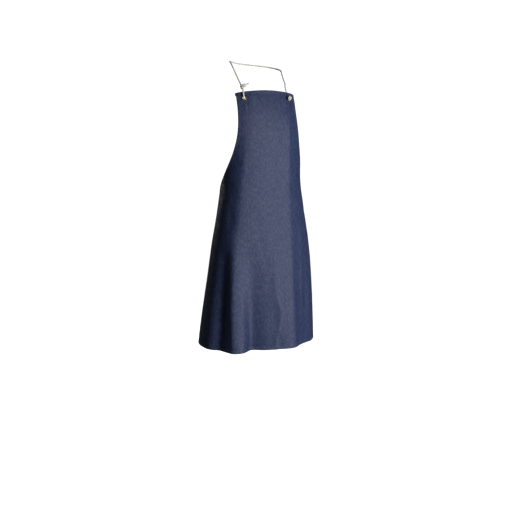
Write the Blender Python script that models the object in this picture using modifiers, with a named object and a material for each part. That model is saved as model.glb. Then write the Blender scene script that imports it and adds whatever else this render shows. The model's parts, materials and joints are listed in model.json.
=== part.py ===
"""Denim bib apron with a rope neck loop, in the shape it takes when worn.

Run it with blender --background --python part.py. Metres, +Z up. The wearer faces -Y, so the wearer's
right is -X. The origin is the nape of the neck loop, which is the point that the apron hangs from.
A place on the cloth is (u, v): u across from the centre front, v down from the top edge, as laid flat.
A place beside a bib eyelet is (side, out, up): to +X along the cloth, out from it, and up along it.
"""

import functools
import math

import bmesh
import bpy
import numpy as np
from mathutils import Matrix, Vector

# Denim panel, laid flat
FLAT_WIDTH = 0.711
FLAT_LENGTH = 0.914
BIB_WIDTH = 0.226
ARMHOLE_DEPTH = 0.425
ARMHOLE_POWER = 3.4
CLOTH = 0.001
GAP = 0.0003

# Hems, folded to the wrong side
HEM_WIDTH = 0.0125
HEM_THICK = 0.0014

# Eyelets and their washers, pressed from brass. Widths are beyond the barrel, which fills the hole.
HOLE_RADIUS = 0.00475
BARREL_WALL = 0.0004
FLANGE_WIDTH = 0.0041
FLANGE_THICK = 0.0009
FLAT_RING_START = 0.00105
FLAT_RING_END = 0.00335
WASHER_WIDTH = 0.00385
WASHER_THICK = 0.0007
LIP_WIDTH = 0.00155
LIP_THICK = 0.0005
BIB_EYELET_MARGIN = 0.0145
BIB_EYELET_DROP = HEM_WIDTH + 0.012
WAIST_EYELET_MARGIN = 0.0125
WAIST_EYELET_DROP = ARMHOLE_DEPTH + 0.035
EYELET_STEPS = 24

# Rope
ROPE = 0.0055
ROPE_SPACING = 0.013
TURN_RADIUS = ROPE / 2 + 0.00255
TURN_POINTS = 7

# Worn shape: level sections of the cloth, as superellipses that suit an apron of FITTED_WIDTH.
# A wider apron is for a stouter wearer, so the sections widen with it. The last one holds below its depth.
# depth below the top edge, y of the centre front, half width, half depth front to back
TOP_Z = -0.100
BODY_Y = -0.072
SECTION_POWER = 2.3
FITTED_WIDTH = 0.711
SECTIONS = (
    (0.00, -0.090, 0.157, 0.120),
    (0.06, -0.112, 0.160, 0.120),
    (0.13, -0.126, 0.160, 0.119),
    (0.22, -0.128, 0.149, 0.109),
    (0.32, -0.125, 0.147, 0.100),
    (0.42, -0.131, 0.161, 0.104),
    (0.55, -0.140, 0.182, 0.118),
    (0.75, -0.143, 0.204, 0.135),
    (0.95, -0.141, 0.221, 0.148),
)

# The skirt faces more to the wearer's left than the bib, and folds form over the thighs: x, width, height
TWIST = math.radians(6)
TWIST_SPAN = (0.10, 0.90)
FOLDS = ((-0.140, 0.028, 0.012), (-0.085, 0.032, -0.022), (0.050, 0.042, 0.020))
FOLD_SPAN = (0.45, 0.90)
FOLD_REACH = 0.1
CORNER_DROP = 0.012
CORNER_DROP_FADE = 0.1
EYELET_PAD = 0.0125
EYELET_FLAT = 0.020
EYELET_EASE = 0.045

# Grid lines of the panel: shares of the width inside the side hems, and heights between hems
COLUMN_SHARES = (0, 0.09, 0.18, 0.27, 0.36, 0.45, 0.54, 0.62, 0.70, 0.775, 0.85, 0.927, 1)
ROW_STEP = 0.028

# The neck loop from the wearer's right to the left, by way of the nape. It turns about its two ends.
LOOP_POINTS = (
    (-0.0880, -0.1320, -0.0790),
    (-0.0955, -0.1120, -0.0480),
    (-0.1000, -0.0880, -0.0190),
    (-0.1005, -0.0660, -0.0010),
    (-0.0940, -0.0400, 0.0060),
    (-0.0740, -0.0170, 0.0055),
    (-0.0400, -0.0045, 0.0020),
    (0, 0, 0),
    (0.0380, -0.0045, -0.0030),
    (0.0700, -0.0170, -0.0080),
    (0.0880, -0.0400, -0.0150),
    (0.0920, -0.0640, -0.0230),
    (0.0860, -0.0900, -0.0390),
    (0.0825, -0.1120, -0.0580),
    (0.0810, -0.1320, -0.0790),
)

# The rope beside the bib eyelets, as (side, out, up)
BIGHT_FRONT = ((0, 0.0040, 0.0331), (0, 0.0046, 0.0240), (0, 0.0052, 0.0130))
BIGHT_BACK = ((0, -0.0056, 0.0130), (0, -0.0058, 0.0240), (0, -0.0036, 0.0331))
KNOT_CENTRE = (0.0025, 0.0012, 0.0418)
KNOT_RADII = (0.0108, 0.0088, 0.0086)
TAIL_POINTS = ((0.0142, 0.0040, 0.0455), (0.0190, 0.0050, 0.0478), (0.0240, 0.0054, 0.0505))
LEG_BACK = ((-0.0024, -0.0050, 0.0508), (-0.0018, -0.0054, 0.0380), (-0.0008, -0.0058, 0.0240), (0, -0.0056, 0.0130))
STOPPER_CENTRE = (-0.0045, 0.0098, -0.0030)
STOPPER_RADII = (0.0100, 0.0076, 0.0092)
LEG_END_OUT = 0.0015

COLOURS = {
    "denim": ((0.030, 0.038, 0.085), 0.85, 0.0),
    "denim_hem": ((0.045, 0.055, 0.115), 0.85, 0.0),
    "brass": ((0.52, 0.38, 0.16), 0.32, 1.0),
    "cotton_rope": ((0.80, 0.78, 0.72), 0.9, 0.0),
}


# ---------------------------------------------------------------- scene and materials


def clear_scene():
    for obj in list(bpy.data.objects):
        bpy.data.objects.remove(obj)


def collection(name):
    made = bpy.data.collections.new(name)
    bpy.context.scene.collection.children.link(made)
    return made


@functools.cache
def material(name):
    colour, roughness, metallic = COLOURS[name]
    made = bpy.data.materials.new(name)
    made.use_nodes = True
    shader = made.node_tree.nodes["Principled BSDF"]
    shader.inputs["Base Color"].default_value = (*colour, 1)
    shader.inputs["Roughness"].default_value = roughness
    shader.inputs["Metallic"].default_value = metallic
    return made


def add_object(name, data, finish, group):
    obj = bpy.data.objects.new(name, data)
    data.materials.append(material(finish))
    group.objects.link(obj)
    return obj


# ---------------------------------------------------------------- the worn shape


def section_at(depth):
    """(y of the centre front, half width, half depth) at this depth, on a smooth curve through SECTIONS."""
    table = np.array(SECTIONS)
    table[:, 2:] *= FLAT_WIDTH / FITTED_WIDTH
    depths = table[:, 0]
    depth = min(depth, depths[-1])
    slopes = np.gradient(table[:, 1:], depths, axis=0)
    i = int(np.clip(np.searchsorted(depths, depth) - 1, 0, len(depths) - 2))
    span = depths[i + 1] - depths[i]
    t = (depth - depths[i]) / span
    start, end = table[i, 1:], table[i + 1, 1:]
    return (
        (2 * t**3 - 3 * t**2 + 1) * start
        + (t**3 - 2 * t**2 + t) * span * slopes[i]
        + (3 * t**2 - 2 * t**3) * end
        + (t**3 - t**2) * span * slopes[i + 1]
    )


@functools.cache
def fall_table():
    """Lengths along the centre front and the depths that they reach."""
    depths = np.linspace(0, FLAT_LENGTH, 200)
    fronts = np.array([section_at(depth)[0] for depth in depths])
    lengths = np.concatenate([[0], np.cumsum(np.hypot(np.diff(depths), np.diff(fronts)))])
    return lengths, depths


@functools.cache
def outline_at(depth):
    """Half a section from the centre front round to the centre back: lengths along it, x and y."""
    front, half_width, half_depth = section_at(depth)
    angle = np.linspace(0, math.pi, 600)
    x = half_width * np.abs(np.sin(angle)) ** (2 / SECTION_POWER)
    y = -half_depth * np.sign(np.cos(angle)) * np.abs(np.cos(angle)) ** (2 / SECTION_POWER)
    lengths = np.concatenate([[0], np.cumsum(np.hypot(np.diff(x), np.diff(y)))])
    return lengths, x, y + front + half_depth


def share(value, span):
    """How far a value is through a span, from 0 to 1."""
    return min(1, max(0, (value - span[0]) / (span[1] - span[0])))


def fold_height(across, back, depth):
    """How far the skirt's folds stand out. They fade out upwards and towards the wings."""
    front = min(1, max(0, -back / FOLD_REACH))
    waves = sum(height * math.exp(-(((across - x) / width) ** 2)) for x, width, height in FOLDS)
    return waves * front * share(depth, FOLD_SPAN) ** 1.3


def on_body(u, v):
    """The cloth before it is flattened round the eyelets. The bib's corners hang lower than its middle."""
    depth = round(float(np.interp(v, *fall_table())), 6)
    lengths, x, y = outline_at(depth)
    across = math.copysign(np.interp(abs(u), lengths, x), u)
    back = float(np.interp(abs(u), lengths, y))
    back -= fold_height(across, back, depth)
    angle = TWIST * share(depth, TWIST_SPAN)
    sag = CORNER_DROP * (2 * u / BIB_WIDTH) ** 2 * math.exp(-v / CORNER_DROP_FADE)
    return Vector((
        across * math.cos(angle) - back * math.sin(angle),
        across * math.sin(angle) + back * math.cos(angle) + BODY_Y,
        TOP_Z - depth - sag,
    ))


def axes_at(surface, u, v, reach=0.004):
    """Unit vectors across, down and out of the cloth at (u, v)."""
    across = (surface(u + reach, v) - surface(u - reach, v)).normalized()
    down = (surface(u, v + reach) - surface(u, v - reach)).normalized()
    out = down.cross(across).normalized()
    return across, across.cross(out), out


def half_width(v):
    if v >= ARMHOLE_DEPTH:
        return FLAT_WIDTH / 2
    return BIB_WIDTH / 2 + (FLAT_WIDTH - BIB_WIDTH) / 2 * (v / ARMHOLE_DEPTH) ** ARMHOLE_POWER


@functools.cache
def eyelet_places():
    """Each eyelet's name and its (u, v)."""
    bib = half_width(BIB_EYELET_DROP) - HEM_WIDTH - BIB_EYELET_MARGIN
    waist = half_width(WAIST_EYELET_DROP) - HEM_WIDTH - WAIST_EYELET_MARGIN
    return {
        "right_bib": (-bib, BIB_EYELET_DROP),
        "left_bib": (bib, BIB_EYELET_DROP),
        "right_waist": (-waist, WAIST_EYELET_DROP),
        "left_waist": (waist, WAIST_EYELET_DROP),
    }


@functools.cache
def eyelet_axes(name):
    u, v = eyelet_places()[name]
    return (on_body(u, v), *axes_at(on_body, u, v))


def draped(u, v):
    """The middle of the cloth at (u, v). It is flat where an eyelet clamps it."""
    point = on_body(u, v)
    for name, (eyelet_u, eyelet_v) in eyelet_places().items():
        reach = math.hypot(u - eyelet_u, v - eyelet_v)
        if reach >= EYELET_EASE:
            continue
        centre, across, down, _ = eyelet_axes(name)
        flat = centre + (u - eyelet_u) * across + (v - eyelet_v) * down
        t = max(0, (reach - EYELET_FLAT) / (EYELET_EASE - EYELET_FLAT))
        point = flat.lerp(point, t * t * (3 - 2 * t))
    return point


# ---------------------------------------------------------------- cloth


def panel_rows():
    """Heights of the panel's grid lines. They include both hems, the armholes' feet and the eyelets' edges."""
    bib_edge = BIB_EYELET_DROP + EYELET_PAD
    waist_edges = [WAIST_EYELET_DROP - EYELET_PAD, WAIST_EYELET_DROP + EYELET_PAD]
    fixed = [0, HEM_WIDTH, bib_edge, ARMHOLE_DEPTH, *waist_edges, FLAT_LENGTH - HEM_WIDTH, FLAT_LENGTH]
    rows = [0]
    for start, end in zip(fixed, fixed[1:]):
        count = max(1, round((end - start) / ROW_STEP))
        rows += [start + (end - start) * i / count for i in range(1, count + 1)]
    return rows


def full_columns(v):
    inner = half_width(v) - HEM_WIDTH
    right = [share * inner for share in COLUMN_SHARES[1:]] + [half_width(v)]
    return [-u for u in reversed(right)] + [0] + right


def edge_columns(side):
    def columns(v):
        return sorted([side * (half_width(v) - HEM_WIDTH), side * half_width(v)])

    return columns


def cloth_piece(name, rows, columns, thick, behind, finish, group):
    """A closed sheet over the grid of rows and columns, its middle this far behind the panel's middle."""
    bm = bmesh.new()
    column_count = len(columns(rows[0])) - 1
    bmesh.ops.create_grid(bm, x_segments=column_count, y_segments=len(rows) - 1, size=1)
    for vert in bm.verts:
        v = rows[round((1 - vert.co.y) / 2 * (len(rows) - 1))]
        u = columns(v)[round((1 + vert.co.x) / 2 * column_count)]
        out = axes_at(draped, u, v)[2]
        vert.co = draped(u, v) - behind * out
    mesh = bpy.data.meshes.new(name)
    bm.to_mesh(mesh)
    bm.free()
    obj = add_object(name, mesh, finish, group)
    solid = obj.modifiers.new("Thickness", "SOLIDIFY")
    solid.thickness = thick
    solid.offset = 0
    mesh.shade_smooth()
    return obj


def build_hems(group):
    behind = CLOTH / 2 + GAP + HEM_THICK / 2
    rows = panel_rows()
    low = FLAT_LENGTH - HEM_WIDTH
    spans = {
        "armhole_hem": (HEM_WIDTH + GAP, ARMHOLE_DEPTH - GAP / 2),
        "side_hem": (ARMHOLE_DEPTH + GAP / 2, low - GAP),
    }
    hem = functools.partial(cloth_piece, thick=HEM_THICK, behind=behind, finish="denim_hem", group=group)
    hem("top_hem", [0, HEM_WIDTH], full_columns)
    hem("bottom_hem", [low, FLAT_LENGTH], full_columns)
    for name, (start, end) in spans.items():
        inside = [v for v in rows if start + 2 * GAP < v < end - 2 * GAP]
        for side, sign in (("right", -1), ("left", 1)):
            hem(f"{side}_{name}", [start, *inside, end], edge_columns(sign))


def build_panel(group, cutters):
    panel = cloth_piece("denim_panel", panel_rows(), full_columns, CLOTH, 0, "denim", group)
    for name in eyelet_places():
        bm = bmesh.new()
        radius = HOLE_RADIUS + BARREL_WALL + GAP
        bmesh.ops.create_cone(
            bm, cap_ends=True, segments=EYELET_STEPS, radius1=radius, radius2=radius, depth=0.01
        )
        mesh = bpy.data.meshes.new(f"{name}_cutter")
        bm.to_mesh(mesh)
        bm.free()
        cutter = add_object(f"{name}_cutter", mesh, "denim", cutters)
        cutter.matrix_world = eyelet_matrix(name)
        cutter.hide_render = True
        cutter.display_type = "WIRE"
        cut = panel.modifiers.new(f"{name}_hole", "BOOLEAN")
        cut.operation = "DIFFERENCE"
        cut.object = cutter


# ---------------------------------------------------------------- eyelets


def eyelet_matrix(name):
    """Local +Z points out of the cloth, +Y up along it, and the origin is the middle of the cloth."""
    centre, across, down, out = eyelet_axes(name)
    axes = Matrix((across, -down, out)).transposed().to_4x4()
    axes.translation = centre
    return axes


def turned(name, profile, finish, group):
    """A ring turned from a closed profile of (radius, height), which runs down its outer side."""
    mesh = bpy.data.meshes.new(name)
    corners = [(radius, 0, height) for radius, height in profile]
    edges = [(i, (i + 1) % len(corners)) for i in range(len(corners))]
    mesh.from_pydata(corners, edges, [])
    obj = add_object(name, mesh, finish, group)
    screw = obj.modifiers.new("Turn", "SCREW")
    screw.steps = EYELET_STEPS
    screw.render_steps = EYELET_STEPS
    screw.use_merge_vertices = True
    screw.merge_threshold = 0.00001
    screw.use_smooth_shade = True
    return obj


def build_eyelets(group):
    """Each eyelet is a flanged barrel in front and a washer behind, under the barrel's rolled lip."""
    front = CLOTH / 2 + GAP
    crown = front + FLANGE_THICK
    barrel = HOLE_RADIUS + BARREL_WALL
    flange = barrel + FLANGE_WIDTH
    lip = barrel + LIP_WIDTH
    washer_top = -front
    washer_foot = washer_top - WASHER_THICK
    lip_top = washer_foot - GAP
    lip_foot = lip_top - LIP_THICK
    eyelet = (
        (flange, front + FLANGE_THICK / 3),
        (flange, front),
        (barrel, front),
        (barrel, lip_top),
        (lip - LIP_THICK / 2, lip_top),
        (lip, (lip_top + lip_foot) / 2),
        (lip - LIP_THICK / 2, lip_foot),
        (barrel, lip_foot),
        (HOLE_RADIUS, lip_top),
        (HOLE_RADIUS, front),
        (barrel, crown - FLANGE_THICK / 4),
        (barrel + FLAT_RING_START, crown),
        (barrel + FLAT_RING_END, crown),
    )
    bore = barrel + GAP
    washer = (
        (barrel + WASHER_WIDTH, washer_top),
        (barrel + WASHER_WIDTH, washer_foot),
        (bore, washer_foot),
        (bore, washer_top),
    )
    for name in eyelet_places():
        for kind, profile in (("eyelet", eyelet), ("washer", washer)):
            ring = turned(f"{name}_{kind}", profile, "brass", group)
            ring.matrix_world = eyelet_matrix(name)


# ---------------------------------------------------------------- rope


def smooth_path(points, spacing):
    """Points this far apart, on a smooth curve through the given points."""
    points = [Vector(point) for point in points]
    points = [2 * points[0] - points[1], *points, 2 * points[-1] - points[-2]]
    fine = []
    for a, b, c, d in zip(points, points[1:], points[2:], points[3:]):
        for i in range(24):
            t = i / 24
            fine.append(
                (2 * b + (c - a) * t + (2 * a - 5 * b + 4 * c - d) * t**2 + (3 * b - a - 3 * c + d) * t**3) / 2
            )
    fine.append(points[-2])
    steps = [0.0]
    for start, end in zip(fine, fine[1:]):
        steps.append(steps[-1] + (end - start).length)
    count = max(2, round(steps[-1] / spacing))
    wanted = np.linspace(0, steps[-1], count + 1)
    columns = [np.interp(wanted, steps, [point[i] for point in fine]) for i in range(3)]
    return [Vector(point) for point in zip(*columns)]


def tube(name, points, group, radii=None):
    curve = bpy.data.curves.new(name, "CURVE")
    curve.dimensions = "3D"
    curve.bevel_depth = ROPE / 2
    curve.bevel_resolution = 2
    curve.use_fill_caps = True
    spline = curve.splines.new("POLY")
    spline.points.add(len(points) - 1)
    spline.use_smooth = True
    for i, point in enumerate(points):
        spline.points[i].co = (*point, 1)
        spline.points[i].radius = radii[i] if radii else 1
    return add_object(name, curve, "cotton_rope", group)


def knot(name, eyelet, centre, radii, group):
    bm = bmesh.new()
    bmesh.ops.create_uvsphere(bm, u_segments=16, v_segments=10, radius=1)
    side, out, up = radii
    bmesh.ops.scale(bm, vec=(side, up, out), verts=bm.verts)
    mesh = bpy.data.meshes.new(name)
    bm.to_mesh(mesh)
    bm.free()
    obj = add_object(name, mesh, "cotton_rope", group)
    obj.matrix_world = eyelet_matrix(eyelet)
    obj.location = beside(eyelet, centre)
    mesh.shade_smooth()


def beside(eyelet, place):
    """The point at (side, out, up) from the middle of the cloth in this eyelet."""
    side, out, up = place
    return eyelet_matrix(eyelet) @ Vector((side, up, out))


def turn(start_angle, end_angle, centre_out, centre_up):
    """Points of the rope's bend round an eyelet's upper lip, from one angle to another, as (side, out, up)."""
    angles = np.linspace(math.radians(start_angle), math.radians(end_angle), TURN_POINTS)
    return [
        (0, centre_out + TURN_RADIUS * math.cos(a), centre_up + TURN_RADIUS * math.sin(a)) for a in angles
    ]


def build_rope(group):
    loop = smooth_path(LOOP_POINTS, ROPE_SPACING)
    tip = (loop[0] - loop[1]).normalized() * ROPE / 2
    other_tip = (loop[-1] - loop[-2]).normalized() * ROPE / 2
    rounding = ((0.87, 0.5), (0.5, 0.87))
    starts = [loop[0] + tip * share for share, _ in rounding]
    ends = [loop[-1] + other_tip * share for share, _ in reversed(rounding)]
    radii = [0.5, 0.87, *[1] * len(loop), 0.87, 0.5]
    tube("neck_rope", [*starts, *loop, *ends], group, radii)

    bend = turn(0, -180, 0, TURN_RADIUS)
    bight = [*BIGHT_FRONT, *bend, *BIGHT_BACK]
    tube("right_rope_bight", [beside("right_bib", place) for place in bight], group)
    knot("tie_knot", "right_bib", KNOT_CENTRE, KNOT_RADII, group)
    tail = smooth_path([beside("right_bib", place) for place in TAIL_POINTS], ROPE_SPACING / 3)
    tube("tie_tail", tail, group)

    bend = turn(180, 270, 0, TURN_RADIUS)
    leg = [*LEG_BACK, *bend, (0, LEG_END_OUT, 0)]
    tube("left_rope_leg", [beside("left_bib", place) for place in leg], group)
    knot("stopper_knot", "left_bib", STOPPER_CENTRE, STOPPER_RADII, group)


def main():
    clear_scene()
    apron = collection("bib_apron")
    cutters = collection("cutters")
    build_panel(apron, cutters)
    build_hems(apron)
    build_eyelets(apron)
    build_rope(apron)
    cutters.hide_render = True


main()
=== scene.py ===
"""Looks of a denim bib apron with a rope neck loop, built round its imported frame.

Metres, +Z up. The wearer faces -Y, so the wearer's right is -X. A place on the cloth is (u, v): u across from
the centre front and v down from the top edge, as laid flat. A place beside an eyelet is (side, out, up).
"""

import functools
import json
import math

import bpy
import numpy as np
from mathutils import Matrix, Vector

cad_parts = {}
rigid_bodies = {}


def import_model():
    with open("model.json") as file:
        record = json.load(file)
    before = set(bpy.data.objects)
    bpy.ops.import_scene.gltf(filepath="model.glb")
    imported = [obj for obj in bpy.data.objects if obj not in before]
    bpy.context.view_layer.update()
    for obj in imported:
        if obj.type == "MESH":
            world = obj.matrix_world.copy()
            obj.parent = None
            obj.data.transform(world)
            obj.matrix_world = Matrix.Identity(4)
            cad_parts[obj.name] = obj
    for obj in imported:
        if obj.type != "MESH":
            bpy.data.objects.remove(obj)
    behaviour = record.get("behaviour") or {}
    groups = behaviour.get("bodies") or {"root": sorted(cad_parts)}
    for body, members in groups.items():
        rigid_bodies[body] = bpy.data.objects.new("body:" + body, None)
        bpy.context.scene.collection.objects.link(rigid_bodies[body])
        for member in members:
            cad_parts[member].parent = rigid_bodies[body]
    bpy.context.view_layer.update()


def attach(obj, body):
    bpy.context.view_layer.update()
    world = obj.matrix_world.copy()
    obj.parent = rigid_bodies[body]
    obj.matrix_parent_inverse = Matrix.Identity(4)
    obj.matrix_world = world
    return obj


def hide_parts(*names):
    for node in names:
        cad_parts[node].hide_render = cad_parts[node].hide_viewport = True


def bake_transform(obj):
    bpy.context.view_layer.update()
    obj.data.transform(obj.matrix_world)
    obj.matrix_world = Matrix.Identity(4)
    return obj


bl_info = {
    "name": "Denim Bib Apron",
    "version": (1, 0, 0),
    "blender": (4, 5, 0),
    "location": "View3D > Sidebar > Apron",
    "description": "Cloth, hems, stitching, brass eyelets and rope of a denim bib apron",
    "category": "Object",
}

for leftover in list(bpy.data.objects):
    bpy.data.objects.remove(leftover)
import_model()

# Flat cloth
FLAT_WIDTH = 0.711
FLAT_LENGTH = 0.914
BIB_WIDTH = 0.226
ARMHOLE_DEPTH = 0.425
ARMHOLE_POWER = 3.4
HEM_WIDTH = 0.0125

# Worn shape, as in the frame: depth, y of the centre front, half width, half depth front to back
TOP_Z = -0.100
BODY_Y = -0.072
SECTION_POWER = 2.3
SECTIONS = np.array((
    (0.00, -0.090, 0.157, 0.120),
    (0.06, -0.112, 0.160, 0.120),
    (0.13, -0.126, 0.160, 0.119),
    (0.22, -0.128, 0.149, 0.109),
    (0.32, -0.125, 0.147, 0.100),
    (0.42, -0.131, 0.161, 0.104),
    (0.55, -0.140, 0.182, 0.118),
    (0.75, -0.143, 0.204, 0.135),
    (0.95, -0.141, 0.221, 0.148),
))
TWIST = math.radians(6)
TWIST_SPAN = (0.10, 0.90)
FOLDS = ((-0.140, 0.028, 0.012), (-0.085, 0.032, -0.022), (0.050, 0.042, 0.020))
FOLD_SPAN = (0.45, 0.90)
FOLD_REACH = 0.1
CORNER_DROP = 0.012
CORNER_DROP_FADE = 0.1
EYELET_FLAT = 0.020
EYELET_EASE = 0.045

# Brass rings
HOLE_RADIUS = 0.00475
BARREL = 0.00515
FLANGE = 0.00925
LIP = 0.0067
WASHER = 0.009
EYELETS = {
    "right_bib": (-1, HEM_WIDTH + 0.0145, HEM_WIDTH + 0.012),
    "left_bib": (1, HEM_WIDTH + 0.0145, HEM_WIDTH + 0.012),
    "right_waist": (-1, HEM_WIDTH + 0.0125, ARMHOLE_DEPTH + 0.035),
    "left_waist": (1, HEM_WIDTH + 0.0125, ARMHOLE_DEPTH + 0.035),
}

# Rope: the loop from the wearer's left to the right, and its route beside the two bib eyelets
LOOP_POINTS = (
    (0.0810, -0.1320, -0.0790),
    (0.0825, -0.1120, -0.0580),
    (0.0860, -0.0900, -0.0390),
    (0.0920, -0.0640, -0.0230),
    (0.0880, -0.0400, -0.0150),
    (0.0700, -0.0170, -0.0080),
    (0.0380, -0.0045, -0.0030),
    (0, 0, 0),
    (-0.0400, -0.0045, 0.0020),
    (-0.0740, -0.0170, 0.0055),
    (-0.0940, -0.0400, 0.0060),
    (-0.1005, -0.0660, -0.0010),
    (-0.1000, -0.0880, -0.0190),
    (-0.0955, -0.1120, -0.0480),
    (-0.0880, -0.1320, -0.0790),
)
TURN_RADIUS = 0.0053
LEG_BACK = (
    (0, -0.0056, 0.0130), (-0.0008, -0.0058, 0.0240), (-0.0018, -0.0054, 0.0380), (-0.0024, -0.0050, 0.0508),
)
INTO_TIE = ((-0.0042, -0.0006, 0.0480), (-0.0016, 0.0016, 0.0405))
BIGHT_FRONT = ((0, 0.0040, 0.0331), (0, 0.0046, 0.0240), (0, 0.0052, 0.0130))
BIGHT_BACK = ((0, -0.0056, 0.0130), (0, -0.0058, 0.0240), (0.0006, -0.0054, 0.0320))
TAIL_POINTS = (
    (0.0088, 0.0078, 0.0458), (0.0140, 0.0066, 0.0456), (0.0190, 0.0058, 0.0472), (0.0235, 0.0054, 0.0496),
)
STOPPER_CENTRE = (-0.0095, 0.0104, -0.0036)

# Creases on the cloth as (v, u): the wearer's right and left edges of the front, and the left thigh's fold
RIGHT_CREASE = (
    (0.10, -0.088), (0.21, -0.091), (0.32, -0.107), (0.42, -0.120), (0.52, -0.143), (0.62, -0.150), (0.75, -0.156),
    (0.91, -0.158),
)
LEFT_CREASE = ((0.00, 0.076), (0.20, 0.066), (0.40, 0.065), (0.56, 0.060), (0.75, 0.063), (0.91, 0.070))
THIGH_CREST = (
    (0.45, 0.002), (0.63, -0.005), (0.71, -0.004), (0.78, 0.013), (0.82, 0.011), (0.88, -0.004), (0.91, -0.004),
)
# Soft folds as start (u, v), end (u, v), height and width: on the skirt, and narrow ones from the bib eyelets
SKIRT_FOLDS = (
    ((-0.180, 0.58), (-0.222, 1.00), -0.0130, 0.021),
    ((-0.062, 0.44), (-0.040, 0.60), -0.0022, 0.016),
    ((0.005, 0.60), (-0.050, 0.74), -0.0016, 0.012),
    ((0.118, 0.50), (0.110, 0.86), 0.0018, 0.009),
    ((0.148, 0.66), (0.150, 0.88), 0.0014, 0.007),
)
BIB_FOLD_WIDTH = 0.0032
BIB_FOLDS = (
    ((-0.071, 0.026), (-0.056, 0.066), -0.0010),
    ((-0.079, 0.042), (-0.073, 0.088), -0.0009),
    ((-0.092, 0.044), (-0.094, 0.080), -0.0006),
    ((0.060, 0.020), (0.040, 0.024), -0.0006),
    ((0.076, 0.044), (0.066, 0.080), -0.0007),
    ((-0.030, 0.006), (-0.026, 0.050), -0.0005),
    ((0.022, 0.006), (0.024, 0.056), -0.0006),
)
EAR = 0.0028

# Cloth mesh: columns from the middle to a hem, steps across a hem, and rows between the hems
INNER_COLUMNS = 76
HEM_STEPS = 4
INNER_ROWS = 208
EDGE_ROLL = 0.0013
HOLE_EDGE = 0.0058
CALM = (0.010, 0.020)

# Hem roll, outwards from the middle of the cloth: its front, and the front of the folded leaf
ROLL_FRONT = 0.0005
LEAF_FRONT = -0.0008
LEAF_SWELL_START = -0.0009
SEAM_INSET = 0.0016
STITCH_FRONT = 0.00062
STITCH_BACK = -0.00236

# Rope's make: shares of its diameter, the spacing of its rings, and the points round a strand
STRAND_OFFSET = 0.272
STRAND_RADIUS = 0.262
RING_SPACING = 0.0013
STRAND_CORNERS = 9
COIL_TALL = 0.0066
COIL_DEEP = 0.0046

# Stage: angles in degrees, with azimuth 0 in front of the wearer
AIM = Vector((0, -0.09, -0.55))
CAMERA_AZIMUTH, CAMERA_ELEVATION, CAMERA_DISTANCE = -21.3, 5.86, 2.651
FLOOR_Z = -1.46
SWEEP_START, SWEEP_BEND, WALL_TOP = 3.2, 0.9, 6.0


# ---- settings


def length_property(name, description, default):
    return bpy.props.FloatProperty(
        name=name, description=description, default=default, min=0, subtype="DISTANCE", unit="LENGTH", precision=5
    )


def colour_property(name, description, default):
    return bpy.props.FloatVectorProperty(
        name=name, description=description, default=default, min=0, max=1, subtype="COLOR", size=3
    )


def power_property(name, description, default):
    return bpy.props.FloatProperty(name=name, description=description, default=default, min=0, unit="POWER")


class APRON_PG_cloth(bpy.types.PropertyGroup):
    thickness: length_property("Thickness", "Thickness of the denim", 0.001)
    wrinkles: length_property("Wrinkles", "Height of the small wrinkles", 0.0005)
    creases: bpy.props.FloatProperty(
        name="Creases", description="Strength of the pressed creases", default=1, min=0, subtype="FACTOR"
    )
    hem_thickness: length_property("Hem thickness", "Thickness of the folded leaf behind the cloth", 0.0014)
    indigo: colour_property("Indigo", "Warp yarn", (0.015, 0.026, 0.092))
    weft: colour_property("Weft", "Undyed yarn that shows between the warp", (0.128, 0.172, 0.262))
    wrong_side: colour_property("Wrong side", "Back of the cloth", (0.20, 0.22, 0.30))


class APRON_PG_stitching(bpy.types.PropertyGroup):
    pitch: length_property("Pitch", "From one stitch to the next", 0.0032)
    length: length_property("Length", "Length of a stitch", 0.0026)
    thread: length_property("Thread", "Thickness of the thread", 0.00042)
    colour: colour_property("Colour", "Sewing thread", (0.17, 0.16, 0.18))


class APRON_PG_brass(bpy.types.PropertyGroup):
    segments: bpy.props.IntProperty(name="Segments", description="Steps round a ring", default=64, min=12)
    colour: colour_property("Colour", "Polished brass", (0.60, 0.44, 0.19))
    tarnish: colour_property("Tarnish", "Dull brass in the hollows", (0.24, 0.17, 0.08))


class APRON_PG_rope(bpy.types.PropertyGroup):
    diameter: length_property("Diameter", "Diameter of the laid rope", 0.0055)
    lay: length_property("Lay", "Length of one turn of a strand", 0.0165)
    colour: colour_property("Colour", "Cotton", (0.90, 0.88, 0.83))


class APRON_PG_stage(bpy.types.PropertyGroup):
    key: power_property("Key light", "Front light's power", 60)
    back: power_property("Back light", "Rear light's power", 26)
    fill: bpy.props.FloatProperty(name="Fill", description="Light from all round", default=0.045, min=0)


# ---- worn shape


def smooth_share(value, start, end):
    t = np.clip((value - start) / (end - start), 0, 1)
    return t * t * (3 - 2 * t)


def hermite(t, span, ends, slopes):
    """Between two ends with these slopes, t running from 0 to 1 over the span."""
    return (
        (2 * t**3 - 3 * t**2 + 1) * ends[0]
        + (t**3 - 2 * t**2 + t) * span * slopes[0]
        + (3 * t**2 - 2 * t**3) * ends[1]
        + (t**3 - t**2) * span * slopes[1]
    )


def section_at(depth):
    """(y of the centre front, half width, half depth) at this depth, on a smooth curve through SECTIONS."""
    depths = SECTIONS[:, 0]
    depth = min(depth, depths[-1])
    slopes = np.gradient(SECTIONS[:, 1:], depths, axis=0)
    i = int(np.clip(np.searchsorted(depths, depth) - 1, 0, len(depths) - 2))
    span = depths[i + 1] - depths[i]
    return hermite((depth - depths[i]) / span, span, SECTIONS[i : i + 2, 1:], slopes[i : i + 2])


@functools.cache
def fall_table():
    depths = np.linspace(0, FLAT_LENGTH, 200)
    fronts = np.array([section_at(depth)[0] for depth in depths])
    return np.concatenate([[0], np.cumsum(np.hypot(np.diff(depths), np.diff(fronts)))]), depths


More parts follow.
